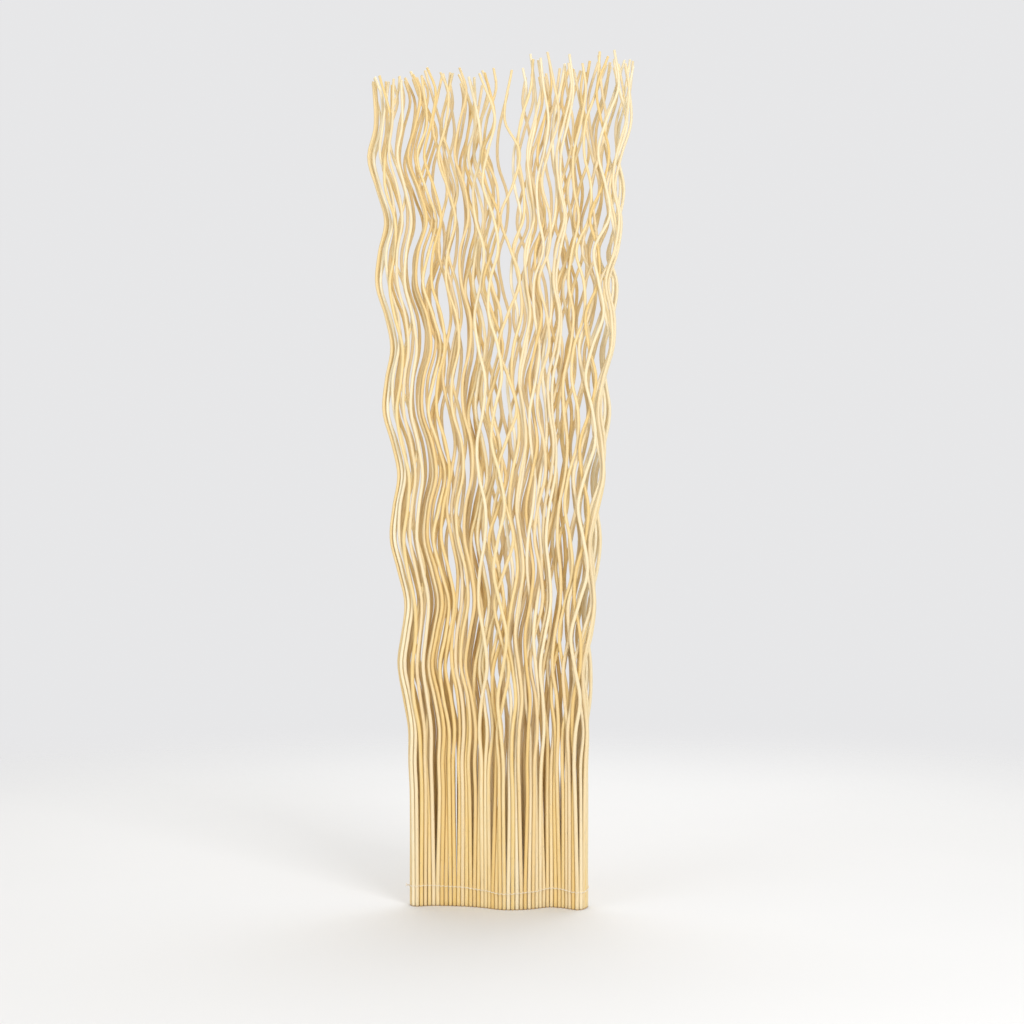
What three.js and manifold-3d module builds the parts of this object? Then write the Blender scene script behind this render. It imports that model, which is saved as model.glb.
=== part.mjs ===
// A free-standing sheaf of long wavy canes, bound side by side in one closed row just above their cut
// feet. Millimetres, +Z up. The front of the sheaf faces -Y and the feet stand on z = 0.
import * as THREE from "three";
import Module from "manifold-3d";
import { mergeVertices } from "three/addons/utils/BufferGeometryUtils.js";

// The sheaf
const CANE_COUNT = 96;
const FRONT_SPLAY = 0.45; // how much wider the sheaf is at its tips than at its feet
const DEPTH_SPLAY = 0.7; // how much deeper it is
const PARTING = 16; // how far the two halves of the sheaf draw apart at their tips
const MIDDLE_DEPTH = 6; // the y that the row opens out from

// One cane: a three-sided stick, as wide across each side as the real round cane is thick
const CANE_SIDE = 6.3;
const SECTION_REACH = CANE_SIDE / Math.sqrt(3); // from the middle of the section to a corner
const CLEARANCE = 0.3;
const CANE_FINISH = { color: "#e9ce9f", roughness: 0.55, metalness: 0 };

// Heights of the sections: two at the feet, then even steps up the waves to the cane's own tip
const PINCH_TOP = 44; // the two feet of a pair draw together below this height, and touch
const STRAIGHT_TOP = 200;
const WAVE_STEP = 56;
const LEAST_LAST_STEP = 30;
const FOOT_SPACING = 5; // between the two touching feet of a pair

// The row that the feet stand in, seen from above: from the left end along the wavy front to the right
// end, and back behind it
const FOOT_LINE = [
  [-154, 14],
  [-148, -2],
  [-118, 4],
  [-70, 0],
  [-28, -14],
  [10, -36],
  [52, -30],
  [90, -10],
  [112, -17],
  [140, -36],
  [151, -20],
  [154, 4],
  [142, 26],
  [108, 36],
  [60, 40],
  [0, 47],
  [-60, 50],
  [-112, 45],
  [-145, 31],
];

// Canes on the left bend together, and canes on the right bend the other way. Each list holds the
// heights at which its canes swing furthest out, one wave apart. The lags are in waves.
const LEFT_FAMILY = {
  out: -1,
  tip: 1468,
  opensAt: 190,
  bends: [170, 407, 655, 884, 1112, 1318, 1520],
  lockLag: 0.08,
  caneLag: 0.045,
  strayShare: 0.12,
};
const RIGHT_FAMILY = {
  out: 1,
  tip: 1486,
  opensAt: 420,
  bends: [150, 381, 615, 850, 1072, 1235, 1470],
  lockLag: 0.15,
  caneLag: 0.09,
  strayShare: 0.2,
};
const HALF_WIDTH = 154;
const FAMILY_BORDER = 16; // the foot's x that parts the two families
const SWING_START = 190;
const SWING_FULL = 430;
const LOW_SWING = 8.5;
const TOP_SWING = 12.5;
const THIRD_SWING = 0.08; // a third harmonic of this share sharpens the bends a little

// Locks: neighbours that bend and lean alike
const LOCK_SIZES = [3, 4, 5, 6];

// The front row parts into locks from the binding up, and the back row closes the view behind it. The
// crowding is how far a lock's canes draw together, at the top of the straight part and where they
// swing. The leans are standard deviations of a sideways lean at the top of the straight part.
const FRONT_ROW = { lowCrowding: 0.3, highCrowding: 0.22, lockLean: 3, caneLean: 1.8 };
const BACK_ROW = { lowCrowding: 0.06, highCrowding: 0.16, lockLean: 0.6, caneLean: 0.6 };

// How much locks and canes differ from one another, as standard deviations. A stray is a cane that
// keeps less to its lock.
const SWING_SPREAD = 0.125;
const TURN_SPREAD = 0.25; // of the direction of the swing, in radians
const STRAY_LAG = 0.4;
const LAG_DRIFT = 0.1; // how far a cane's lag changes towards its tip
const SIDE_LEAN = 4.5;
const STRAY_LEAN = 17;
const DEPTH_LEAN = 11;
const TIP_SPREAD = 6.5;
const TALLEST_TIP = 1498;
const SEED = 14;
const LOW_SEED = 12; // for the leans just above the binding

// Settling: canes that would cross are pushed apart, a little at a time
const SETTLE_ROUNDS = 600;
const SMOOTH_ROUNDS = 250;
const SMOOTH_SHARE = 0.35;
const SETTLE_MARGIN = 0.35; // the last pushes leave up to this much undone
const SETTLE_SPACING = CANE_SIDE + CLEARANCE + SETTLE_MARGIN;
const LEAST_APART = 0.01; // keeps the push finite where two canes coincide
const SAMPLE_STEP = 7;
const FAR_APART = 45; // canes that stand this far apart where a step begins can't meet within it
const HELD_LEVELS = 2; // the two lowest sections stay where the binding holds them

// The binding: a flat band outside the row and one inside it
const BINDING_HEIGHT = 33;
const BINDING_WIDTH = 1.2;
const BINDING_THICKNESS = 1;
const BINDING_CLEARANCE = 0.9;
const BINDING_FINISH = { color: "#efe2c4", roughness: 0.8, metalness: 0 };

function seededRandom(seed) {
  let state = seed;
  return () => {
    state = (state + 0x6d2b79f5) | 0;
    let mixed = Math.imul(state ^ (state >>> 15), 1 | state);
    mixed = (mixed + Math.imul(mixed ^ (mixed >>> 7), 61 | mixed)) ^ mixed;
    return ((mixed ^ (mixed >>> 14)) >>> 0) / 4294967296;
  };
}

const random = seededRandom(SEED);

// The sum of three draws spreads by a standard deviation of 0.5 round 1.5.
const spreadOf = (draw) => (deviation) => 2 * deviation * (draw() + draw() + draw() - 1.5);
const spread = spreadOf(random);
const lowSpread = spreadOf(seededRandom(LOW_SEED));

function sectionHeights(tip) {
  const heights = [0, PINCH_TOP];
  for (let height = STRAIGHT_TOP; height <= tip - LEAST_LAST_STEP; height += WAVE_STEP) {
    heights.push(height);
  }
  return [...heights, tip];
}

// Number of waves from the first bend of a family to a height
function wavesUpTo(height, bends) {
  const above = bends.findIndex((bend) => bend > height);
  const next = above < 0 ? bends.length - 1 : Math.max(above, 1);
  return next - 1 + (height - bends[next - 1]) / (bends[next] - bends[next - 1]);
}

function familyAt(foot) {
  return foot.x < FAMILY_BORDER ? LEFT_FAMILY : RIGHT_FAMILY;
}

function rowAt(foot) {
  return foot.y < MIDDLE_DEPTH ? FRONT_ROW : BACK_ROW;
}

// Locks are drawn along the whole row, and each hands its character to its canes.
function drawLocks(feet) {
  const locks = [];
  let first = 0;
  while (first < feet.length) {
    const size = Math.min(LOCK_SIZES[Math.floor(random() * LOCK_SIZES.length)], feet.length - first);
    const members = feet.slice(first, first + size);
    const middle = new THREE.Vector2();
    members.forEach((foot) => middle.addScaledVector(foot, 1 / size));
    locks.push({
      size,
      middle,
      lag: spread(familyAt(middle).lockLag),
      swing: 1 + spread(SWING_SPREAD),
      turn: spread(TURN_SPREAD),
      depthLean: spread(DEPTH_LEAN),
      tip: spread(TIP_SPREAD),
      lowLean: lowSpread(rowAt(middle).lockLean),
    });
    first += size;
  }
  return locks;
}

function groomCane(foot, lock) {
  const family = familyAt(foot);
  const row = rowAt(foot);
  const stray = random() < family.strayShare;
  const lag = lock.lag + spread(stray ? STRAY_LAG : family.caneLag);
  const swing = lock.swing * (1 + spread(SWING_SPREAD));
  const turn = lock.turn + spread(TURN_SPREAD);
  const inness = 1 - Math.abs(foot.x) / HALF_WIDTH; // 1 at the middle of the row and 0 at its ends
  const sideLean = stray ? STRAY_LEAN * inness : SIDE_LEAN;
  const lean = new THREE.Vector2(spread(sideLean), lock.depthLean + spread(DEPTH_LEAN));
  const tip = Math.min(family.tip + lock.tip + spread(TIP_SPREAD), TALLEST_TIP);
  const drift = spread(LAG_DRIFT);
  const lowLean = (lock.lowLean + lowSpread(row.caneLean)) * inness;

  const pointAt = (height) => {
    const rise = Math.max(0, (height - family.opensAt) / (tip - family.opensAt));
    const onset = THREE.MathUtils.smoothstep(height, SWING_START, SWING_FULL);
    const straightShare = THREE.MathUtils.smoothstep(height, PINCH_TOP, STRAIGHT_TOP);
    const crowding = THREE.MathUtils.lerp(row.lowCrowding * straightShare, row.highCrowding, onset);
    const drawn = foot.clone().lerp(lock.middle, crowding);
    const waves = 2 * Math.PI * (wavesUpTo(height, family.bends) + lag + drift * rise);
    const reach = THREE.MathUtils.lerp(LOW_SWING, TOP_SWING, rise) * swing * onset;
    const along = family.out * reach * (Math.cos(waves) + THIRD_SWING * Math.cos(3 * waves));
    const parting = family.out * PARTING * rise ** 3 * inness;
    const leaning = lowLean * straightShare + lean.x * rise;
    return new THREE.Vector2(
      drawn.x * (1 + FRONT_SPLAY * rise) + parting + leaning + along * Math.cos(turn),
      drawn.y + (drawn.y - MIDDLE_DEPTH) * DEPTH_SPLAY * rise + lean.y * rise + along * Math.sin(turn),
    );
  };
  const heights = sectionHeights(tip);
  return { heights, points: heights.map(pointAt) };
}

// Pushes apart the canes that come closer than the spacing, both along the straight chords between
// their sections and along the smooth lines through them.
function settle(canes) {
  const groomed = canes.map((cane) => cane.points.map((point) => point.clone()));
  const steps = sampleSteps(canes);
  for (let round = 0; round < SETTLE_ROUNDS; round += 1) {
    for (const step of steps) {
      pushApart(step, chordPlace);
      pushApart(step, smoothPlace);
    }
    if (round < SMOOTH_ROUNDS) {
      canes.forEach((cane, index) => smoothShift(cane.points, groomed[index]));
    }
  }
}

// For each step up the sheaf, the spots of every cane that reaches into it. A spot is the section just
// below a sampled height and the share of the way to the section above it.
function sampleSteps(canes) {
  const steps = [];
  for (let bottom = STRAIGHT_TOP - WAVE_STEP; bottom < TALLEST_TIP; bottom += WAVE_STEP) {
    const spotsOf = (cane) => {
      const spots = [];
      for (let height = bottom + SAMPLE_STEP; height <= bottom + WAVE_STEP; height += SAMPLE_STEP) {
        const level = cane.heights.findIndex((above) => above >= height) - 1;
        if (level >= 0) {
          const reach = cane.heights[level + 1] - cane.heights[level];
          spots.push({ cane, level, share: (height - cane.heights[level]) / reach });
        }
      }
      return spots;
    };
    steps.push(canes.map(spotsOf).filter((spots) => spots.length > 0));
  }
  return steps;
}

function chordPlace({ cane, level, share }) {
  const [from, to] = [cane.points[level], cane.points[level + 1]];
  return [from.x + (to.x - from.x) * share, from.y + (to.y - from.y) * share];
}

function smoothPlace({ cane: { heights, points }, level, share }) {
  const step = heights[level + 1] - heights[level];
  const slopeAt = (section, axis) => {
    const below = Math.max(section - 1, 0);
    const above = Math.min(section + 1, points.length - 1);
    return (points[above][axis] - points[below][axis]) / (heights[above] - heights[below]);
  };
  const place = (axis) => {
    const start = points[level][axis];
    const change = points[level + 1][axis] - start;
    const leave = slopeAt(level, axis) * step - change;
    const arrive = change - slopeAt(level + 1, axis) * step;
    return start + share * (change + (1 - share) * (leave * (1 - share) + arrive * share));
  };
  return [place("x"), place("y")];
}

// Within a step, two canes are pushed apart where they come closest.
function pushApart(step, placeOn) {
  const places = step.map((spots) => spots.map(placeOn));
  for (let a = 0; a < step.length; a += 1) {
    for (let b = a + 1; b < step.length; b += 1) {
      const far = Math.abs(places[b][0][0] - places[a][0][0]) > FAR_APART;
      const shared = far ? 0 : Math.min(step[a].length, step[b].length);
      let nearest = { apart: SETTLE_SPACING };
      for (let spot = 0; spot < shared; spot += 1) {
        const dx = places[b][spot][0] - places[a][spot][0];
        const dy = places[b][spot][1] - places[a][spot][1];
        const apart = Math.hypot(dx, dy);
        if (apart < nearest.apart) {
          nearest = { apart, dx, dy, spot };
        }
      }
      if (nearest.apart < SETTLE_SPACING) {
        const push = (SETTLE_SPACING - nearest.apart) / (2 * Math.max(nearest.apart, LEAST_APART));
        shift(step[a][nearest.spot], -nearest.dx * push, -nearest.dy * push);
        shift(step[b][nearest.spot], nearest.dx * push, nearest.dy * push);
      }
    }
  }
}

// Moves a cane at a spot by moving the free sections above and below it.
function shift({ cane, level, share }, dx, dy) {
  const below = level < HELD_LEVELS ? 0 : 1 - share;
  const weight = 1 / (below ** 2 + share ** 2);
  cane.points[level].x += dx * below * weight;
  cane.points[level].y += dy * below * weight;
  cane.points[level + 1].x += dx * share * weight;
  cane.points[level + 1].y += dy * share * weight;
}

// Spreads a cane's shift from its groomed line over the neighbouring levels.
function smoothShift(points, groomed) {
  const shifts = points.map((point, level) => point.clone().sub(groomed[level]));
  for (let level = HELD_LEVELS; level < points.length; level += 1) {
    const above = shifts[Math.min(level + 1, shifts.length - 1)];
    const mean = shifts[level - 1].clone().add(above).multiplyScalar(0.5);
    points[level].copy(groomed[level]).add(shifts[level].clone().lerp(mean, SMOOTH_SHARE));
  }
}

// A route with a section at each of its points, every section level
class CaneRoute extends THREE.CatmullRomCurve3 {
  getUtoTmapping(u) {
    return u;
  }

  computeFrenetFrames(steps) {
    const sections = steps + 1;
    return {
      tangents: Array(sections).fill(new THREE.Vector3(0, 0, 1)),
      normals: Array(sections).fill(new THREE.Vector3(1, 0, 0)),
      binormals: Array(sections).fill(new THREE.Vector3(0, 1, 0)),
    };
  }
}

function sectionCorners() {
  return [0, 1, 2].map((corner) => {
    const angle = -Math.PI / 2 + (corner * 2 * Math.PI) / 3;
    return new THREE.Vector2(Math.cos(angle), Math.sin(angle)).multiplyScalar(SECTION_REACH);
  });
}

function caneGeometry(cane) {
  const route = new CaneRoute(
    cane.points.map((point, level) => new THREE.Vector3(point.x, point.y, cane.heights[level])),
  );
  return new THREE.ExtrudeGeometry(new THREE.Shape(sectionCorners()), {
    steps: cane.points.length - 1,
    extrudePath: route,
  });
}

const wasm = await Module();
wasm.setup();

function toSolid(geometry) {
  const bare = geometry.clone();
  bare.deleteAttribute("normal");
  bare.deleteAttribute("uv");
  const merged = mergeVertices(bare);
  return new wasm.Manifold(
    new wasm.Mesh({
      numProp: 3,
      vertProperties: new Float32Array(merged.attributes.position.array),
      triVerts: new Uint32Array(merged.index.array),
    }),
  );
}

function toGeometry(solid) {
  const { vertProperties, triVerts } = solid.getMesh();
  const geometry = new THREE.BufferGeometry();
  geometry.setAttribute("position", new THREE.BufferAttribute(new Float32Array(vertProperties), 3));
  geometry.setIndex(new THREE.BufferAttribute(new Uint32Array(triVerts), 1));
  geometry.computeVertexNormals();
  return geometry;
}

// Two neighbours whose feet touch, joined there in one solid
function canePair(first, second, name, material) {
  const between = second.points[0].clone().sub(first.points[0]);
  const inward = between.clone().setLength((between.length() - FOOT_SPACING) / 2);
  first.points[0].add(inward);
  second.points[0].sub(inward);
  const solid = toSolid(caneGeometry(first)).add(toSolid(caneGeometry(second)));
  const mesh = new THREE.Mesh(toGeometry(solid), material);
  mesh.name = name;
  return mesh;
}

// A line beside the row: out is 1 outside it and -1 inside it, and clear is its gap to the canes.
function besideRow(feet, out, clear) {
  return feet.map((foot, index) => {
    const before = feet[(index + feet.length - 1) % feet.length];
    const after = feet[(index + 1) % feet.length];
    const along = after.clone().sub(before).normalize();
    const away = new THREE.Vector2(along.y, -along.x).multiplyScalar(out);
    const reach = Math.max(...sectionCorners().map((corner) => corner.dot(away)));
    return foot.clone().addScaledVector(away, reach + clear);
  });
}

function bindingBand(feet, out, name, material) {
  const near = besideRow(feet, out, BINDING_CLEARANCE);
  const far = besideRow(feet, out, BINDING_CLEARANCE + BINDING_THICKNESS);
  const shape = new THREE.Shape(out > 0 ? far : near);
  shape.holes.push(new THREE.Path(out > 0 ? near : far));
  const geometry = new THREE.ExtrudeGeometry(shape, { depth: BINDING_WIDTH, bevelEnabled: false });
  const mesh = new THREE.Mesh(geometry, material);
  mesh.name = name;
  mesh.position.z = BINDING_HEIGHT - BINDING_WIDTH / 2;
  return mesh;
}

function footPoints() {
  const corners = FOOT_LINE.map(([x, y]) => new THREE.Vector3(x, y, 0));
  const row = new THREE.CatmullRomCurve3(corners, true);
  const spaced = row.getSpacedPoints(CANE_COUNT).slice(0, CANE_COUNT);
  return spaced.map((point) => new THREE.Vector2(point.x, point.y));
}

function buildSheaf() {
  const caneMaterial = new THREE.MeshStandardMaterial({ name: "cane", ...CANE_FINISH });
  const bindingMaterial = new THREE.MeshStandardMaterial({ name: "binding", ...BINDING_FINISH });
  const feet = footPoints();
  const canes = [];
  for (const lock of drawLocks(feet)) {
    const members = feet.slice(canes.length, canes.length + lock.size);
    members.forEach((foot) => canes.push(groomCane(foot, lock)));
  }
  settle(canes);

  const sheaf = new THREE.Group();
  for (let index = 0; index < canes.length; index += 2) {
    const number = String(index / 2 + 1).padStart(2, "0");
    sheaf.add(canePair(canes[index], canes[index + 1], `cane_pair_${number}`, caneMaterial));
  }
  sheaf.add(bindingBand(feet, 1, "binding_outer", bindingMaterial));
  sheaf.add(bindingBand(feet, -1, "binding_inner", bindingMaterial));
  const middle = new THREE.Box3().setFromObject(sheaf).getCenter(new THREE.Vector3());
  sheaf.position.set(-middle.x, -middle.y, 0);
  return sheaf;
}

const sheaf = buildSheaf();

export default sheaf;
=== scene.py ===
import math
import random
from collections import namedtuple

import bmesh
import bpy
from bpy.props import FloatProperty, FloatVectorProperty, IntProperty, PointerProperty
from mathutils import Matrix, Vector


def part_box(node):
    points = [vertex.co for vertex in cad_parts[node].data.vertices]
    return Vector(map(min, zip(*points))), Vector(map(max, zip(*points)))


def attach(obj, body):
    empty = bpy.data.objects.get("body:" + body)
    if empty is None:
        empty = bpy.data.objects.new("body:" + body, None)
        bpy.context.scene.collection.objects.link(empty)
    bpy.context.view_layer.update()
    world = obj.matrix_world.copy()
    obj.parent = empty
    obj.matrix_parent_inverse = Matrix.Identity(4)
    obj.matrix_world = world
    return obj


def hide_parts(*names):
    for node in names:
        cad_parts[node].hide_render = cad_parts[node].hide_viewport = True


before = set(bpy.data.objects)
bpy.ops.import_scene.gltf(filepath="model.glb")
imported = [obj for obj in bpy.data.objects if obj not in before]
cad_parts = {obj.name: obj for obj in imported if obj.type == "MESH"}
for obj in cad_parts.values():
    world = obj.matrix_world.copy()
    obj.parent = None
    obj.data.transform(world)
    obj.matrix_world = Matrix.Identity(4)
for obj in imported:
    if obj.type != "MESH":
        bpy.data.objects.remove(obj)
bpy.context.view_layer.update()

bl_info = {
    "name": "Wavy cane sheaf",
    "version": (1, 0, 0),
    "blender": (4, 5, 0),
    "location": "3D View > Sidebar > Cane sheaf",
    "description": "A free-standing sheaf of long wavy canes, bound with a twined thread near the feet",
    "category": "Add Mesh",
}

# What the frame gives
PAIR_NODES = sorted(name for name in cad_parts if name.startswith("cane_pair_"))
BAND_NODES = ("binding_outer", "binding_inner")
BAND_LOW, BAND_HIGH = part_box("binding_outer")
BODY = "root"
JOINED_BELOW = 0.040  # the two canes of a pair are joined somewhere below this height
SAME_PLACE = 1e-6
SECTIONS_APART = 0.002  # two sections of a cane lie further apart than this
BACK_ROW_FROM = 0.020  # a cane whose foot lies further back than this is in the back row

# Names that meshes and materials share
GRAIN_MAP = "grain"
TONE = "tone"
WARMTH = "warmth"
HALF_TURN = 0.5  # the map counts whole turns round a stick

# The binding wanders up and down as it runs round the row, which starts at its left end and goes
# along the front first. Each stop is a share of the way round and a height above or below the mean.
BINDING_WANDER = (
    (0.00, 0.0010),
    (0.05, 0.0037),
    (0.14, 0.0013),
    (0.21, -0.0022),
    (0.26, -0.0050),
    (0.34, -0.0022),
    (0.39, 0.0012),
    (0.47, -0.0026),
    (0.53, 0.0015),
    (0.75, -0.0010),
    (1.00, 0.0010),
)
STEPS_PER_CANE = 12  # rings of a strand as it passes one cane
STRAND_SIDES = 8

# The canes' shape and marks
DIRECTION_REACH = 0.002  # a cane's direction is taken between points this far below and above
TAPER_POWER = 0.8  # below 1, a cane keeps its thickness for longer on its way up
UNEVEN_PITCHES = (9, 23, 61)  # waves of a cane's thickness, in radians a metre
BACK_SHADE_WARMTH_SPREAD = 0.6  # how far below full warmth the colour of a back row cane may lie; that warmth is painted shade for the hollow seen between the front canes

# The tie, where the two strands end
TIE_TURNS = 1.75
TIE_STEPS = 24
STUB_STEPS = 8
STUB_OUTWARD = 0.6  # how far a stub leans out of the row for each length that it falls or rises
STUB_BEND = 1.6  # above 1, a stub has its final direction before its end

# Patterns on round sticks: how fine each is round the stick and along it, how far it is shifted from
# cane to cane, and how strongly it shows in the colour
Pattern = namedtuple("Pattern", "around along shift strength")
STREAK = Pattern(2.2, 14.0, 73.0, 0.6)
DRIFT = Pattern(0.5, 7.0, 57.0, 0.7)
PATCH = Pattern(1.3, 60.0, 31.0, 0.5)
FIBRE = Pattern(7.0, 24.0, 91.0, 0.16)
SCAR = Pattern(1.6, 70.0, 17.0, 0.25)
FUZZ = Pattern(3.0, 2400.0, 0.0, 0.25)

# The skin's colour. It goes from pale to honey where the cane's own tone, the patterns and the painted
# shade towards the feet add up to more than HONEY_FROM, and then towards amber by the three warm shares,
# the last of them painted shade too.
HONEY_FROM = 1.15
PAINTED_SHADE_HONEY = 0.2
WARM_CANES = 0.45
WARM_PATCHES = 0.06
PAINTED_SHADE_WARMTH = 0.14
PAINTED_SHADE_REACH = 0.9  # height up to which the painted shade near the feet still deepens and warms a cane
SCAR_RANGE = (0.69, 0.76)
FOOT_SHADOW_RANGE = (0.0008, 0.0032)  # the painted contact shadow, a brown edge along a cut foot, fades out between these heights
FOOT_SHADOW_STRENGTH = 0.75
FIBRE_RELIEF = 0.7
SCAR_RELIEF = 0.4
SKIN_ROUGHNESS = 0.28  # where a fibre is at its smoothest
FIBRE_ROUGHNESS = 0.2  # what the coarsest fibre adds

# The cut ends: open pores in a mottled face
PORE_FINENESS = 2600.0
PORE_RANGE = (0.12, 0.34)
PORE_DARKNESS = 0.55
MOTTLE_FINENESS = 420.0
MOTTLE_DARKNESS = 0.35

# The plies of the thread
PLIES = 2.0
PLY_LAY = 2.2  # length that a ply takes for one turn, in strand diameters
GROOVE_SHADE_DARKNESS = 0.45
GROOVE_SHADE_COLOUR = 0.72  # painted shade in the grooves, as a share of the thread's colour
GROOVE_DEPTH = 0.3  # depth of the grooves, in strand diameters
FUZZ_RELIEF = 0.3

# The stage
WHITE = (1.0, 1.0, 1.0)
FLOOR_SIDES = 96
FLOOR_CLOUD = 0.12  # how far the floor's faint clouds lighten it
FLOOR_CLOUD_FINENESS = 1.4
FLOOR_FADE = (0.35, 0.9)  # where the floor starts and ends fading, in shares of its radius
SENSOR_WIDTH = 36.0
SHEAF_MIDDLE = (0.0, 0.0, 0.7)
Lamp = namedtuple("Lamp", "name place target size")
KEY_LAMP = Lamp("key", (1.5, -3.2, 1.9), SHEAF_MIDDLE, 1.4)
FILL_LAMP = Lamp("fill", (-2.6, -2.8, 1.3), SHEAF_MIDDLE, 2.2)
TOP_LAMP = Lamp("top", (0.3, 2.2, 3.6), (0.0, 1.4, 0.0), 3.4)


class CaneSettings(bpy.types.PropertyGroup):
    """Sizes and colours of the canes."""

    foot_diameter: FloatProperty(
        name="Foot diameter",
        description="Thickness of the thickest cane at its cut foot",
        default=0.0070,
        unit="LENGTH",
    )
    slimmest: FloatProperty(
        name="Slimmest",
        description="Thickness of the slimmest cane, as a share of the thickest",
        default=0.9,
        subtype="FACTOR",
    )
    back_build: FloatProperty(
        name="Back build",
        description="Thickness of the canes of the closed back row, as a share of the thickest in front",
        default=1.04,
    )
    tip_diameter: FloatProperty(
        name="Tip diameter",
        description="Thickness of the thickest cane at its tip",
        default=0.0047,
        unit="LENGTH",
    )
    unevenness: FloatProperty(
        name="Unevenness",
        description="How far the thickness of a cane strays along its length, as a share of it",
        default=0.02,
        subtype="FACTOR",
    )
    rim: FloatProperty(
        name="Cut rim",
        description="Width of the worn rim round a cut end",
        default=0.0004,
        unit="LENGTH",
    )
    slant: FloatProperty(
        name="Tip slant",
        description="Steepest slant of the cut across a tip",
        default=math.radians(14),
        subtype="ANGLE",
    )
    ring_step: FloatProperty(
        name="Ring step",
        description="Height from one ring of the mesh to the next",
        default=0.012,
        unit="LENGTH",
    )
    sides: IntProperty(
        name="Sides",
        description="Number of sides of a cane's mesh",
        default=12,
        min=6,
    )
    seed: IntProperty(
        name="Seed",
        description="Start of the random draws that make each cane different",
        default=5,
    )
    pale: FloatVectorProperty(
        name="Pale",
        description="Lightest colour of the peeled cane",
        default=(0.95, 0.87, 0.65),
        subtype="COLOR",
    )
    honey: FloatVectorProperty(
        name="Honey",
        description="Deepest colour of the peeled cane",
        default=(0.87, 0.635, 0.24),
        subtype="COLOR",
    )
    amber: FloatVectorProperty(
        name="Amber",
        description="Colour that the warmest canes lean to",
        default=(0.80, 0.54, 0.20),
        subtype="COLOR",
    )
    pith: FloatVectorProperty(
        name="Pith",
        description="Colour of the cut ends",
        default=(0.42, 0.25, 0.11),
        subtype="COLOR",
    )


class BindingSettings(bpy.types.PropertyGroup):
    """Sizes and colour of the twined thread."""

    strand_diameter: FloatProperty(
        name="Strand diameter",
        description="Thickness of each of the two strands",
        default=0.0014,
        unit="LENGTH",
    )
    height: FloatProperty(
        name="Height",
        description="Mean height of the binding above the feet",
        default=(BAND_LOW.z + BAND_HIGH.z) / 2,
        unit="LENGTH",
    )
    clearance: FloatProperty(
        name="Clearance",
        description="Gap between a strand and the canes",
        default=0.00005,
        unit="LENGTH",
    )
    tie_length: FloatProperty(
        name="Tie length",
        description="Length of the twisted tie where the two strands end",
        default=0.005,
        unit="LENGTH",
    )
    stub_length: FloatProperty(
        name="Stub length",
        description="Length of the free ends past the tie",
        default=0.005,
        unit="LENGTH",
    )
    cream: FloatVectorProperty(
        name="Cream",
        description="Colour of the thread",
        default=(0.97, 0.87, 0.72),
        subtype="COLOR",
    )


class StageSettings(bpy.types.PropertyGroup):
    """Camera, lights and floor."""

    camera_side: FloatProperty(
        name="Camera side",
        description="How far the camera stands to the right of the sheaf's middle",
        default=0.0197,
        unit="LENGTH",
    )
    camera_distance: FloatProperty(
        name="Camera distance",
        description="How far the camera stands in front of the sheaf's middle",
        default=3.608,
        unit="LENGTH",
    )
    camera_height: FloatProperty(
        name="Camera height",
        description="Height of the camera, which looks level",
        default=0.695,
        unit="LENGTH",
    )
    lens: FloatProperty(
        name="Lens",
        description=f"Focal length in millimetres on a sensor {SENSOR_WIDTH:.0f} mm wide",
        default=71.76,
    )
    floor_radius: FloatProperty(
        name="Floor radius",
        description="Radius of the floor, which fades out towards its edge",
        default=3.6,
        unit="LENGTH",
    )
    floor_colour: FloatVectorProperty(
        name="Floor colour",
        description="Colour of the pale floor",
        default=(0.755, 0.765, 0.785),
        subtype="COLOR",
    )
    air_colour: FloatVectorProperty(
        name="Air colour",
        description="Colour of the even light all round",
        default=(0.80, 0.80, 0.81),
        subtype="COLOR",
    )
    air_glow: FloatVectorProperty(
        name="Air glow",
        description="Colour of that light where it falls on the sheaf and the floor",
        default=(0.81, 0.785, 0.74),
        subtype="COLOR",
    )
    air_light: FloatProperty(
        name="Air light",
        description="Share of that light that falls on the sheaf and the floor",
        default=0.76,
        subtype="FACTOR",
    )
    key_power: FloatProperty(
        name="Key power",
        description="Power of the soft lamp at the front right",
        default=71.0,
        unit="POWER",
    )
    fill_power: FloatProperty(
        name="Fill power",
        description="Power of the large soft lamp at the front left",
        default=34.0,
        unit="POWER",
    )
    top_power: FloatProperty(
        name="Top power",
        description="Power of the soft lamp overhead",
        default=84.0,
        unit="POWER",
    )


class Socket:
    """An output of a material's node. Arithmetic on it adds Math nodes."""

    def __init__(self, look, output):
        self.look = look
        self.output = output

    def math(self, operation, *others):
        values = dict(enumerate((self, *others)))
        return self.look.node("ShaderNodeMath", {"operation": operation}, values)

    def __add__(self, other):
        return self.math("ADD", other)

    def __sub__(self, other):
        return self.math("SUBTRACT", other)

    def __mul__(self, other):
        return self.math("MULTIPLY", other)

    def __rsub__(self, other):
        return (self * -1.0).math("ADD", other)

    __radd__ = __add__
    __rmul__ = __mul__

    def clamped(self):
        return self.math("MINIMUM", 1.0).math("MAXIMUM", 0.0)

    def between(self, low, high):
        """0 below low and 1 above high, with a smooth rise."""
        inputs = {"Value": self, "From Min": low, "From Max": high}
        return self.look.node("ShaderNodeMapRange", {"interpolation_type": "SMOOTHSTEP"}, inputs)


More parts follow.
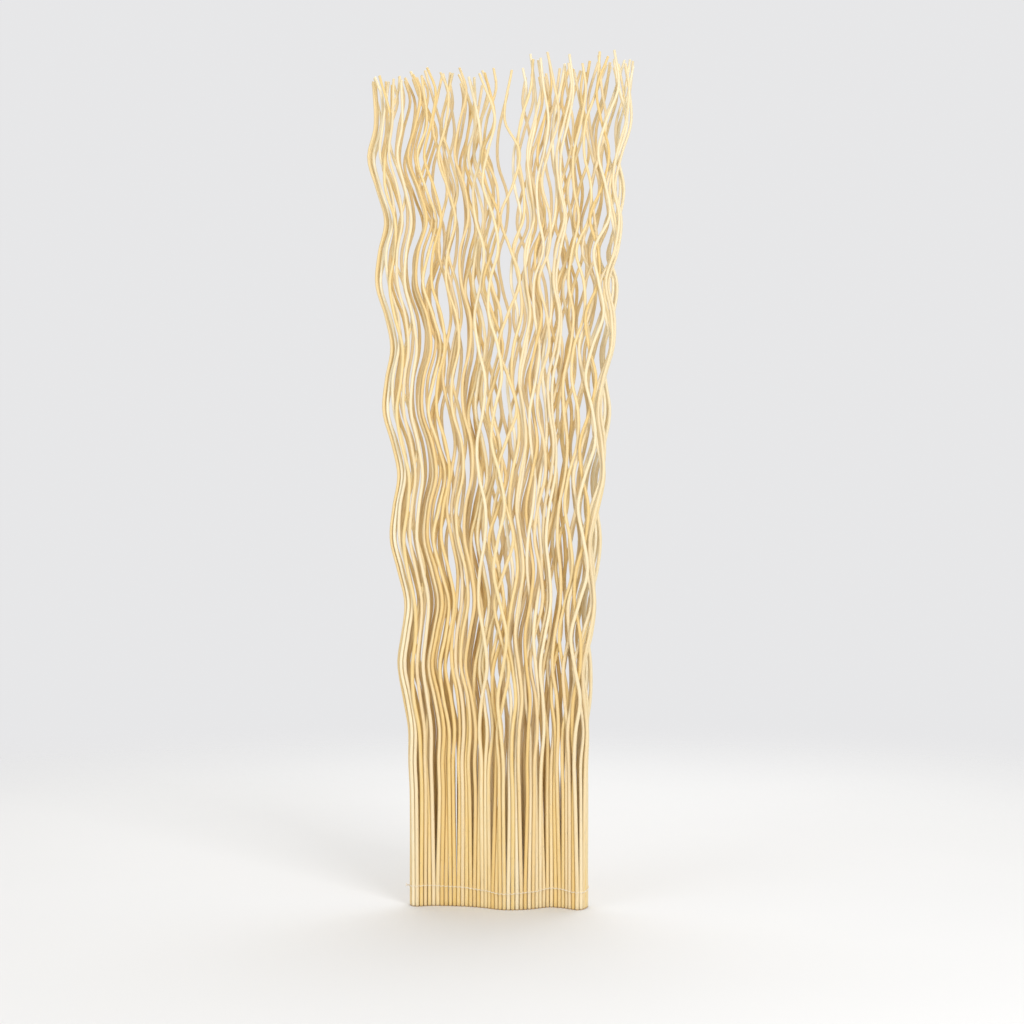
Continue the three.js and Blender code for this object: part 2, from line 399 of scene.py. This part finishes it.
class Look:
    """A material under construction."""

    def __init__(self, name):
        self.material = bpy.data.materials.new(name)
        self.material.use_nodes = True
        self.tree = self.material.node_tree
        self.tree.nodes.clear()

    def node(self, kind, settings=None, inputs=None, out=0):
        """Adds a node, with its settings, then its inputs' values or links, and gives one output."""
        node = self.tree.nodes.new(kind)
        for key, value in (settings or {}).items():
            setattr(node, key, value)
        for key, value in (inputs or {}).items():
            if isinstance(value, Socket):
                self.tree.links.new(value.output, node.inputs[key])
            else:
                node.inputs[key].default_value = value
        return Socket(self, node.outputs[out])

    def mixed(self, share, first, second, blend="MIX"):
        """A colour between two colours."""
        settings = {"data_type": "RGBA", "blend_type": blend}
        return self.node("ShaderNodeMix", settings, {0: share, 6: first, 7: second}, out=2)

    def noise(self, vector, scale, detail=2.0):
        inputs = {"Vector": vector, "Scale": scale, "Detail": detail}
        return self.node("ShaderNodeTexNoise", {}, inputs)

    def attribute(self, name):
        return self.node("ShaderNodeAttribute", {"attribute_name": name}, out="Fac")

    def grain(self):
        """How far round the piece a point lies, in radians, and how far along it, in metres."""
        place = self.node("ShaderNodeUVMap", {"uv_map": GRAIN_MAP})
        turn = self.node("ShaderNodeSeparateXYZ", {}, {0: place}, out="X")
        along = self.node("ShaderNodeSeparateXYZ", {}, {0: place}, out="Y")
        return turn * math.tau, along

    def pattern(self, turn, along, pattern, tone=0.0, detail=2.0):
        """Noise that runs along a round stick and closes on itself round it."""
        values = {
            "X": turn.math("COSINE") * pattern.around,
            "Y": turn.math("SINE") * pattern.around,
            "Z": along * pattern.along + tone * pattern.shift,
        }
        return self.noise(self.node("ShaderNodeCombineXYZ", {}, values), 1.0, detail)

    def relief(self, height, strength, distance):
        inputs = {"Strength": strength, "Distance": distance, "Height": height}
        return self.node("ShaderNodeBump", {}, inputs)

    def finish(self, shader):
        output = self.tree.nodes.new("ShaderNodeOutputMaterial")
        self.tree.links.new(shader.output, output.inputs["Surface"])
        return self.material


def opaque(colour):
    return (*colour, 1.0)


def cane_skin(canes):
    """The peeled skin: pale to honey in long drifts, with fine fibres, small scars and a satin shine."""
    look = Look("peeled_cane")
    turn, along = look.grain()
    tone = look.attribute(TONE)
    warmth = look.attribute(WARMTH)
    streak = look.pattern(turn, along, STREAK, tone)
    drift = look.pattern(turn, along, DRIFT, tone)
    patch = look.pattern(turn, along, PATCH, tone)
    fibre = look.pattern(turn, along, FIBRE, tone, detail=4.0)
    scar = look.pattern(turn, along, SCAR, tone).between(*SCAR_RANGE)
    # painted shade: the skin deepens and warms towards the feet, where the lower sheaf lies in shade
    low = 1.0 - along.between(0.0, PAINTED_SHADE_REACH)
    # painted contact shadow: a thin brown band in the pith colour where the feet meet the floor
    foot_shadow = 1.0 - along.between(*FOOT_SHADOW_RANGE)

    depth = tone + drift * DRIFT.strength + streak * STREAK.strength + patch * PATCH.strength
    depth = (depth + low * PAINTED_SHADE_HONEY - HONEY_FROM).clamped()
    warm = (warmth * WARM_CANES + patch * WARM_PATCHES + low * PAINTED_SHADE_WARMTH).clamped()
    skin = look.mixed(depth, opaque(canes.pale), opaque(canes.honey))
    skin = look.mixed(warm, skin, opaque(canes.amber))
    skin = look.mixed(foot_shadow * FOOT_SHADOW_STRENGTH, skin, opaque(canes.pith))
    shade = (1.0 - fibre * FIBRE.strength) * (1.0 - scar * SCAR.strength)
    shade_colour = look.node("ShaderNodeCombineXYZ", {}, {"X": shade, "Y": shade, "Z": shade})
    skin = look.mixed(1.0, skin, shade_colour, blend="MULTIPLY")
    relief = look.relief(fibre * FIBRE_RELIEF - scar * SCAR_RELIEF, strength=0.35, distance=0.00025)
    shader = {
        "Base Color": skin,
        "Roughness": fibre * FIBRE_ROUGHNESS + SKIN_ROUGHNESS,
        "Specular IOR Level": 0.35,
        "Normal": relief,
    }
    return look.finish(look.node("ShaderNodeBsdfPrincipled", {}, shader))


def cane_end(canes):
    """A cut end: darker pith with open pores."""
    look = Look("cut_cane_end")
    place = look.node("ShaderNodeTexCoord", out="Object")
    inputs = {"Vector": place, "Scale": PORE_FINENESS}
    pores = look.node("ShaderNodeTexVoronoi", {"feature": "F1"}, inputs, out="Distance")
    mottle = look.noise(place, MOTTLE_FINENESS)
    dark = (1.0 - pores.between(*PORE_RANGE)) * PORE_DARKNESS + mottle * MOTTLE_DARKNESS
    face = look.mixed(dark.clamped(), opaque(canes.honey), opaque(canes.pith))
    relief = look.relief(pores, strength=0.5, distance=0.0002)
    shader = {"Base Color": face, "Roughness": 0.8, "Specular IOR Level": 0.25, "Normal": relief}
    return look.finish(look.node("ShaderNodeBsdfPrincipled", {}, shader))


def thread(binding):
    """A cotton thread, with its two plies laid round each other and grooves between them, darkened with
    painted shade.
    """
    look = Look("twined_thread")
    turn, along = look.grain()
    ply = (turn * PLIES + along * (math.tau / (binding.strand_diameter * PLY_LAY))).math("SINE")
    crown = ply * 0.5 + 0.5
    fuzz = look.pattern(turn, along, FUZZ, detail=3.0)
    # painted shade in the grooves between the plies, with the fuzz's own random darkening
    dark = ((1.0 - crown) * GROOVE_SHADE_DARKNESS + fuzz * FUZZ.strength).clamped()
    groove_shade = tuple(channel * GROOVE_SHADE_COLOUR for channel in binding.cream)
    colour = look.mixed(dark, opaque(binding.cream), opaque(groove_shade))
    depth = binding.strand_diameter * GROOVE_DEPTH
    relief = look.relief(crown + fuzz * FUZZ_RELIEF, strength=0.7, distance=depth)
    shader = {"Base Color": colour, "Roughness": 0.88, "Specular IOR Level": 0.2, "Normal": relief}
    return look.finish(look.node("ShaderNodeBsdfPrincipled", {}, shader))


def floor_paint(stage):
    """A pale matte floor that fades out towards its edge."""
    look = Look("pale_floor")
    place = look.node("ShaderNodeTexCoord", out="Object")
    reach = look.node("ShaderNodeVectorMath", {"operation": "LENGTH"}, {0: place}, out="Value")
    cloud = look.noise(place, FLOOR_CLOUD_FINENESS)
    tint = look.mixed(cloud * FLOOR_CLOUD, opaque(stage.floor_colour), opaque(WHITE))
    paint = look.node("ShaderNodeBsdfPrincipled", {}, {"Base Color": tint, "Roughness": 0.9})
    clear = look.node("ShaderNodeBsdfTransparent")
    gone = reach.between(*(stage.floor_radius * share for share in FLOOR_FADE))
    return look.finish(look.node("ShaderNodeMixShader", {}, {0: gone, 1: paint, 2: clear}))


class SmoothLine:
    """The smooth line through a cane's section middles, given by height as the frame's canes are."""

    def __init__(self, middles):
        self.middles = middles

    def slope(self, section):
        below = self.middles[max(section - 1, 0)]
        above = self.middles[min(section + 1, len(self.middles) - 1)]
        return (above - below) / (above.z - below.z)

    def at(self, height):
        last = len(self.middles) - 2
        level = next((n for n in range(last) if self.middles[n + 1].z >= height), last)
        start, end = self.middles[level], self.middles[level + 1]
        change = end - start
        share = (height - start.z) / change.z
        leave = self.slope(level) * change.z - change
        arrive = change - self.slope(level + 1) * change.z
        bow = (leave * (1 - share) + arrive * share) * (1 - share)
        return start + (change + bow) * share

    @property
    def tip(self):
        return self.middles[-1].z

    def direction(self, height):
        low = max(height - DIRECTION_REACH, 0.0)
        high = min(height + DIRECTION_REACH, self.tip)
        return (self.at(high) - self.at(low)).normalized()


def separate_canes(node):
    """The vertices of a pair's two canes above the height where they are joined, cane by cane."""
    bm = bmesh.new()
    bm.from_mesh(node.data)
    bmesh.ops.remove_doubles(bm, verts=bm.verts, dist=SAME_PLACE)
    joined = [vert for vert in bm.verts if vert.co.z < JOINED_BELOW]
    bmesh.ops.delete(bm, geom=joined, context="VERTS")
    canes, unread = [], set(bm.verts)
    while unread:
        found, front = set(), [unread.pop()]
        while front:
            vert = front.pop()
            found.add(vert)
            near = {edge.other_vert(vert) for edge in vert.link_edges} & unread
            unread -= near
            front.extend(near)
        canes.append([vert.co.copy() for vert in found])
    bm.free()
    return canes


def cane_line(points):
    """The line of one cane. Its sections are level, so points of one section share their height."""
    sections = []
    for point in sorted(points, key=lambda point: (point.z, point.x, point.y)):
        if not sections or point.z - sections[-1][0].z > SECTIONS_APART:
            sections.append([])
        sections[-1].append(point)
    middles = [sum(corners, Vector()) / len(corners) for corners in sections]
    foot = Vector((middles[0].x, middles[0].y, 0.0))
    return SmoothLine([foot, *middles])


def cane_lines():
    """Every cane's line with the node it is in, in the order of the row."""
    nodes = [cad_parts[name] for name in PAIR_NODES]
    pairs = [[cane_line(points) for points in separate_canes(node)] for node in nodes]
    if any(len(pair) != 2 for pair in pairs):
        raise RuntimeError("a pair of canes in the frame doesn't hold two canes")
    ordered = []
    for index, pair in enumerate(pairs):
        onward = pairs[(index + 1) % len(pairs)]
        ahead = (onward[0].at(0.0) + onward[1].at(0.0)) / 2
        pair.sort(key=lambda line: (line.at(0.0) - ahead).length, reverse=True)
        ordered += [(line, PAIR_NODES[index]) for line in pair]
    return ordered


Ring = namedtuple("Ring", "middle facing radius along")


def ring_frames(rings):
    """A place, turn and size for each ring, each turned as little as possible from the last."""
    turn = Vector((0, 0, 1)).rotation_difference(rings[0].facing)
    frames = []
    for before, ring in zip([rings[0], *rings], rings):
        turn = before.facing.rotation_difference(ring.facing) @ turn
        frames.append(Matrix.LocRotScale(ring.middle, turn, Vector((ring.radius,) * 3)))
    return frames


def grown_stick(rings, sides, marks):
    """A round stick: a disc whose rim is drawn from ring to ring and closed with a second disc.

    Its skin is slot 0 and its two ends are slot 1. The marks are named values that the stick's
    materials read, the same all over it.
    """
    bm = bmesh.new()
    around = bm.verts.layers.float.new("around")
    along = bm.verts.layers.float.new("along")
    frames = ring_frames(rings)
    bmesh.ops.create_circle(bm, cap_ends=True, segments=sides, radius=1.0, matrix=frames[0])
    for index, vert in enumerate(bm.verts):
        vert[around] = index / sides
    rim = list(bm.edges)
    for before, after, ring in zip(frames, frames[1:], rings[1:]):
        grown = bmesh.ops.extrude_edge_only(bm, edges=rim)["geom"]
        corners = [item for item in grown if isinstance(item, bmesh.types.BMVert)]
        rim = [item for item in grown if isinstance(item, bmesh.types.BMEdge)]
        bmesh.ops.transform(bm, matrix=after @ before.inverted(), verts=corners)
        for vert in corners:
            vert[along] = ring.along
    bmesh.ops.contextual_create(bm, geom=rim)
    bmesh.ops.recalc_face_normals(bm, faces=bm.faces)
    settle_order(bm)
    map_grain(bm, around, along)
    for face in bm.faces:
        is_end = len(face.verts) == sides
        face.smooth = not is_end
        face.material_index = 1 if is_end else 0
    for name, value in marks.items():
        mark = bm.verts.layers.float.new(name)
        for vert in bm.verts:
            vert[mark] = value
    return bm


def settle_order(bm):
    """Puts edges and faces in order of their vertices, because extrusion adds them in any order."""
    bm.verts.index_update()
    count = len(bm.verts)

    def place(element):
        numbers = [vert.index for vert in element.verts]
        return min(numbers) * count + max(numbers)

    for elements in (bm.edges, bm.faces):
        elements.sort(key=place)


def map_grain(bm, around, along):
    """The map that the patterns follow: round the stick in whole turns, and along it in metres."""
    grain = bm.loops.layers.uv.new(GRAIN_MAP)
    for face in bm.faces:
        turns = [corner.vert[around] for corner in face.loops]
        past_seam = max(turns) - min(turns) > HALF_TURN
        for corner, turn in zip(face.loops, turns):
            whole = 1.0 if past_seam and turn < HALF_TURN else 0.0
            corner[grain].uv = (turn + whole, corner.vert[along])


def add_piece(name, bm, materials, nodes):
    """Turns a finished mesh into a piece that rides on the body and stands for its nodes."""
    mesh = bpy.data.meshes.new(name)
    bm.to_mesh(mesh)
    bm.free()
    for material in materials:
        mesh.materials.append(material)
    piece = bpy.data.objects.new(name, mesh)
    bpy.context.scene.collection.objects.link(piece)
    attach(piece, BODY)
    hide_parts(*nodes)


def stands_behind(line):
    return line.at(0.0).y > BACK_ROW_FROM


def cane_marks(line, chance):
    """How deep and how warm a cane's colour is. The back row's canes are warmer, as painted shade for
    the warm brown seen between the front canes.
    """
    warmth = chance.random() ** 2
    # painted shade: the back row is coloured warm to stand in for the shaded hollow behind the front
    # row's gaps
    if stands_behind(line):
        warmth = 1.0 - BACK_SHADE_WARMTH_SPREAD * warmth
    return {TONE: chance.random(), WARMTH: warmth}


def cane_rings(line, canes, chance):
    """A cane's rings, from its cut foot to its slanted tip, a little uneven in thickness."""
    phases = [chance.uniform(0, math.tau) for _ in UNEVEN_PITCHES]
    count = round(line.tip / canes.ring_step)
    build = canes.back_build if stands_behind(line) else chance.uniform(canes.slimmest, 1.0)

    def radius(height):
        share = height / line.tip
        taper = canes.foot_diameter - canes.tip_diameter
        mean = canes.tip_diameter + taper * (1 - share) ** TAPER_POWER
        waves = sum(math.sin(height * pitch + phase) for pitch, phase in zip(UNEVEN_PITCHES, phases))
        return build * mean / 2 * (1 + canes.unevenness * waves / len(UNEVEN_PITCHES))

    heights = [line.tip * step / count for step in range(count + 1)]
    rings = [Ring(line.at(z), line.direction(z), radius(z), z) for z in heights]
    worn_foot = Ring(rings[0].middle, rings[0].facing, radius(0.0) - canes.rim, 0.0)
    first = Ring(line.at(canes.rim), rings[0].facing, radius(0.0), canes.rim)
    slant = chance.uniform(0, canes.slant)
    turn = Matrix.Rotation(chance.uniform(0, math.tau), 3, "Z") @ Matrix.Rotation(slant, 3, "X")
    last = rings[-1]
    cut = (last.facing.to_track_quat("Z", "Y").to_matrix() @ turn @ Vector((0, 0, 1))).normalized()
    below = last.middle - last.facing * canes.rim
    cut_ring = Ring(below, cut, last.radius, last.along)
    worn_tip = Ring(below + cut * canes.rim, cut, last.radius - canes.rim, last.along + canes.rim)
    return [worn_foot, first, *rings[1:-1], cut_ring, worn_tip]


class SHEAF_OT_canes(bpy.types.Operator):
    """Grow every cane along its line in the frame"""

    bl_idname = "sheaf.canes"
    bl_label = "Canes"
    bl_options = {"REGISTER", "UNDO"}

    def execute(self, context):
        canes = context.scene.sheaf_canes
        chance = random.Random(canes.seed)
        materials = [cane_skin(canes), cane_end(canes)]
        for number, (line, node) in enumerate(cane_lines(), start=1):
            marks = cane_marks(line, chance)
            bm = grown_stick(cane_rings(line, canes, chance), canes.sides, marks)
            add_piece(f"cane_{number:02d}", bm, materials, [node])
        return {"FINISHED"}


def wander(share):
    """How far the binding lies above or below its mean height, this share of the way round the row."""
    for (before, low), (after, high) in zip(BINDING_WANDER, BINDING_WANDER[1:]):
        if share <= after:
            part = (share - before) / (after - before)
            return low + (high - low) * part * part * (3 - 2 * part)
    return BINDING_WANDER[-1][1]


def gap_points(feet, height):
    """The middle of the gap before each cane of the row, on the wandering height of the binding."""
    points = []
    for index, foot in enumerate(feet):
        middle = (feet[index - 1] + foot) / 2
        points.append(Vector((middle.x, middle.y, height + wander(index / len(feet)))))
    return points


def outward(feet, index):
    """The direction out of the row at one cane. The row runs anticlockwise seen from above."""
    along = feet[(index + 1) % len(feet)] - feet[index - 1]
    return Vector((along.y, -along.x, 0.0)).normalized()


def strand_route(feet, binding, first_side):
    """The middles of a strand that passes the canes in front and behind by turns.

    It goes into the row above the other strand and comes out below it, so the two twine in each gap.
    """
    gaps = gap_points(feet, binding.height)
    lift = Vector((0, 0, binding.strand_diameter / 2 + binding.clearance))
    canes = bpy.context.scene.sheaf_canes
    reach = (canes.foot_diameter * canes.back_build + binding.strand_diameter) / 2 + binding.clearance
    route = []
    for index, foot in enumerate(feet):
        side = first_side if index % 2 == 0 else -first_side
        before, after = gaps[index], gaps[(index + 1) % len(feet)]
        middle = Vector((foot.x, foot.y, (before.z + after.z) / 2))
        peak = middle + outward(feet, index) * side * reach - (before + after) / 2
        for step in range(STEPS_PER_CANE):
            angle = math.pi * step / STEPS_PER_CANE
            base = before.lerp(after, (1 - math.cos(angle)) / 2)
            route.append(base + peak * math.sin(angle) - lift * side * math.cos(angle))
    return route


def tie_route(feet, binding, phase):
    """The middles of a strand's end: out of the first gap, round the other end, then a free stub."""
    out = (outward(feet, 0) + outward(feet, -1)).normalized()
    across = Vector((0, 0, 1))
    side = out.cross(across)
    start = gap_points(feet, binding.height)[0]
    coil = binding.strand_diameter / 2 + binding.clearance
    clear = bpy.context.scene.sheaf_canes.foot_diameter / 2
    route = []
    for step in range(1, TIE_STEPS + 1):
        share = step / TIE_STEPS
        angle = phase + TIE_TURNS * math.tau * share
        swirl = across * math.cos(angle) + side * math.sin(angle)
        route.append(start + out * (clear + binding.tie_length) * share + swirl * coil)
    end = route[-1]
    away = (route[-1] - route[-2]).normalized()
    lie = (Vector((0, 0, -1)) * math.cos(phase) + out * STUB_OUTWARD).normalized()
    for step in range(1, STUB_STEPS + 1):
        bend = away.lerp(lie, min(1.0, step / STUB_STEPS * STUB_BEND)).normalized()
        end = end + bend * binding.stub_length / STUB_STEPS
        route.append(end)
    return route


def strand_rings(route, radius):
    """Rings along a route, each facing the way that the route runs there."""
    rings, along = [], 0.0
    for index, middle in enumerate(route):
        before, after = route[max(index - 1, 0)], route[min(index + 1, len(route) - 1)]
        along += (middle - before).length
        rings.append(Ring(middle, (after - before).normalized(), radius, along))
    return rings


class SHEAF_OT_binding(bpy.types.Operator):
    """Twine the two strands of thread round the row of canes and tie them at its left end"""

    bl_idname = "sheaf.binding"
    bl_label = "Binding"
    bl_options = {"REGISTER", "UNDO"}

    def execute(self, context):
        binding = context.scene.sheaf_binding
        feet = [line.at(binding.height) for line, _ in cane_lines()]
        material = thread(binding)
        for name, side, phase in (("front", 1, 0.0), ("back", -1, math.pi)):
            route = strand_route(feet, binding, side) + tie_route(feet, binding, phase)
            rings = strand_rings(route, binding.strand_diameter / 2)
            bm = grown_stick(rings, STRAND_SIDES, {})
            add_piece(f"binding_strand_{name}", bm, [material, material], BAND_NODES)
        return {"FINISHED"}


def studio_air(stage):
    """Even light all round, fainter on the sheaf than it is seen behind it."""
    world = bpy.data.worlds.new("studio_air")
    world.use_nodes = True
    nodes, links = world.node_tree.nodes, world.node_tree.links
    felt = nodes["Background"]
    felt.inputs["Color"].default_value = opaque(stage.air_glow)
    felt.inputs["Strength"].default_value = stage.air_light
    seen = nodes.new("ShaderNodeBackground")
    seen.inputs["Color"].default_value = opaque(stage.air_colour)
    rays = nodes.new("ShaderNodeLightPath")
    both = nodes.new("ShaderNodeMixShader")
    links.new(rays.outputs["Is Camera Ray"], both.inputs[0])
    links.new(felt.outputs[0], both.inputs[1])
    links.new(seen.outputs[0], both.inputs[2])
    links.new(both.outputs[0], nodes["World Output"].inputs["Surface"])
    return world


def softbox(lamp, power):
    """A square lamp that faces its target."""
    light = bpy.data.lights.new(lamp.name, "AREA")
    light.shape = "SQUARE"
    light.size = lamp.size
    light.energy = power
    holder = bpy.data.objects.new(lamp.name, light)
    holder.location = lamp.place
    facing = Vector(lamp.target) - Vector(lamp.place)
    holder.rotation_euler = facing.to_track_quat("-Z", "Y").to_euler()
    bpy.context.scene.collection.objects.link(holder)


class SHEAF_OT_stage(bpy.types.Operator):
    """Set up the floor, the soft light and the camera"""

    bl_idname = "sheaf.stage"
    bl_label = "Stage"
    bl_options = {"REGISTER", "UNDO"}

    def execute(self, context):
        stage = context.scene.sheaf_stage
        scene = context.scene
        bm = bmesh.new()
        bmesh.ops.create_circle(bm, cap_ends=True, segments=FLOOR_SIDES, radius=stage.floor_radius)
        mesh = bpy.data.meshes.new("floor")
        bm.to_mesh(mesh)
        bm.free()
        mesh.materials.append(floor_paint(stage))
        floor = bpy.data.objects.new("floor", mesh)
        scene.collection.objects.link(floor)

        scene.world = studio_air(stage)
        scene.view_settings.view_transform = "Standard"

        softbox(KEY_LAMP, stage.key_power)
        softbox(FILL_LAMP, stage.fill_power)
        softbox(TOP_LAMP, stage.top_power)

        lens = bpy.data.cameras.new("camera")
        lens.sensor_width = SENSOR_WIDTH
        lens.lens = stage.lens
        camera = bpy.data.objects.new("camera", lens)
        camera.location = (stage.camera_side, -stage.camera_distance, stage.camera_height)
        camera.rotation_euler = (math.pi / 2, 0.0, 0.0)
        scene.collection.objects.link(camera)
        scene.camera = camera
        return {"FINISHED"}


class SHEAF_PT_panel(bpy.types.Panel):
    """Sizes, colours and makers of the sheaf's pieces."""

    bl_idname = "SHEAF_PT_panel"
    bl_label = "Wavy cane sheaf"
    bl_space_type = "VIEW_3D"
    bl_region_type = "UI"
    bl_category = "Cane sheaf"

    def draw(self, context):
        layout = self.layout
        for group, operator in (
            (context.scene.sheaf_canes, SHEAF_OT_canes),
            (context.scene.sheaf_binding, SHEAF_OT_binding),
            (context.scene.sheaf_stage, SHEAF_OT_stage),
        ):
            box = layout.box()
            box.operator(operator.bl_idname)
            for key in group.bl_rna.properties.keys():
                if key not in {"rna_type", "name"}:
                    box.prop(group, key)


CLASSES = (
    CaneSettings,
    BindingSettings,
    StageSettings,
    SHEAF_OT_canes,
    SHEAF_OT_binding,
    SHEAF_OT_stage,
    SHEAF_PT_panel,
)


def register():
    for kind in CLASSES:
        bpy.utils.register_class(kind)
    bpy.types.Scene.sheaf_canes = PointerProperty(type=CaneSettings)
    bpy.types.Scene.sheaf_binding = PointerProperty(type=BindingSettings)
    bpy.types.Scene.sheaf_stage = PointerProperty(type=StageSettings)


def unregister():
    del bpy.types.Scene.sheaf_stage
    del bpy.types.Scene.sheaf_binding
    del bpy.types.Scene.sheaf_canes
    for kind in reversed(CLASSES):
        bpy.utils.unregister_class(kind)


def main():
    register()
    bpy.ops.sheaf.canes()
    bpy.ops.sheaf.binding()
    bpy.ops.sheaf.stage()


if __name__ == "__main__":
    main()
